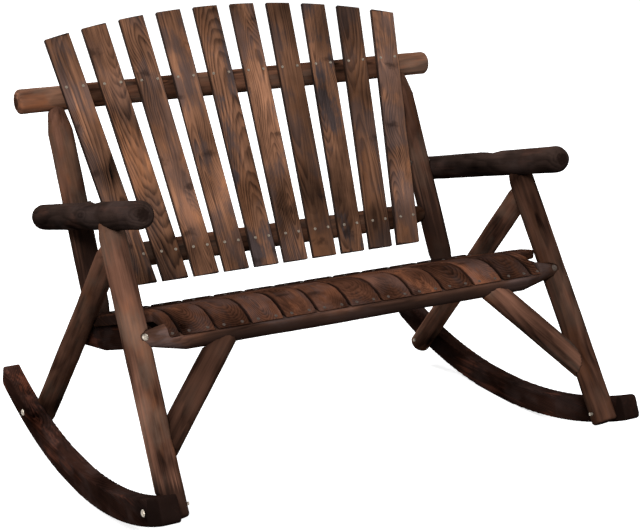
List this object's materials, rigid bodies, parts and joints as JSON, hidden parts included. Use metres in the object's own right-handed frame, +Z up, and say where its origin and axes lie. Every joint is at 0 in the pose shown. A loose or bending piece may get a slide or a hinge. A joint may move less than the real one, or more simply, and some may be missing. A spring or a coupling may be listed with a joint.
{
  "type": "rocking bench",
  "caption": "Rustic rocking bench for two in charred round timber, with log arms, curved runners, a fanned slat back and a contoured slat seat.",
  "frame": {"origin": "middle of the footprint, on the floor under the runners", "axes": "+X across the bench to the sitter's left, -Y the way the sitter faces, +Z up"},
  "size_m": [1.259, 1.1224, 1.0539],
  "materials": {
    "dark_timber": "charred, nearly black, satin",
    "leg_timber": "charred grey-brown, satin",
    "back_timber": "charred brown with open grain, satin",
    "seat_timber": "charred red-brown with open grain, satin",
    "steel": "zinc plated"
  },
  "bodies": {
    "root": {"runner_left": "dark_timber", "front_leg_left": "leg_timber", "rear_leg_left": "leg_timber", "back_post_left": "leg_timber", "armrest_left": "dark_timber", "seat_side_rail_left": "dark_timber", "front_brace_left": "leg_timber", "bolt_runner_front_left": "steel", "bolt_runner_rear_left": "steel", "bolt_rail_tenon_left": "steel", "bolt_armrest_left": "steel", "nut_armrest_left": "steel", "bolt_side_rail_left": "steel", "bolt_post_foot_left": "steel", "stud_armrest_left": "steel", "runner_right": "dark_timber", "front_leg_right": "leg_timber", "rear_leg_right": "leg_timber", "back_post_right": "leg_timber", "armrest_right": "dark_timber", "seat_side_rail_right": "dark_timber", "front_brace_right": "leg_timber", "bolt_runner_front_right": "steel", "bolt_runner_rear_right": "steel", "bolt_rail_tenon_right": "steel", "bolt_armrest_right": "steel", "nut_armrest_right": "steel", "bolt_side_rail_right": "steel", "bolt_post_foot_right": "steel", "stud_armrest_right": "steel", "top_back_rail": "back_timber", "lower_back_rail": "back_timber", "seat_front_rail": "seat_timber", "seat_rear_rail": "dark_timber", "back_slat_01": "back_timber", "back_slat_02": "back_timber", "back_slat_03": "back_timber", "back_slat_04": "back_timber", "back_slat_05": "back_timber", "back_slat_06": "back_timber", "back_slat_07": "back_timber", "back_slat_08": "back_timber", "back_slat_09": "back_timber", "back_slat_10": "back_timber", "seat_slat_01": "seat_timber", "seat_slat_02": "seat_timber", "seat_slat_03": "seat_timber", "seat_slat_04": "seat_timber", "seat_slat_05": "seat_timber", "seat_slat_06": "seat_timber", "seat_slat_07": "seat_timber", "seat_slat_08": "seat_timber", "seat_slat_09": "seat_timber", "seat_slat_10": "seat_timber", "seat_slat_11": "seat_timber", "seat_slat_12": "seat_timber", "seat_slat_13": "seat_timber"}
  },
  "joints": []
}
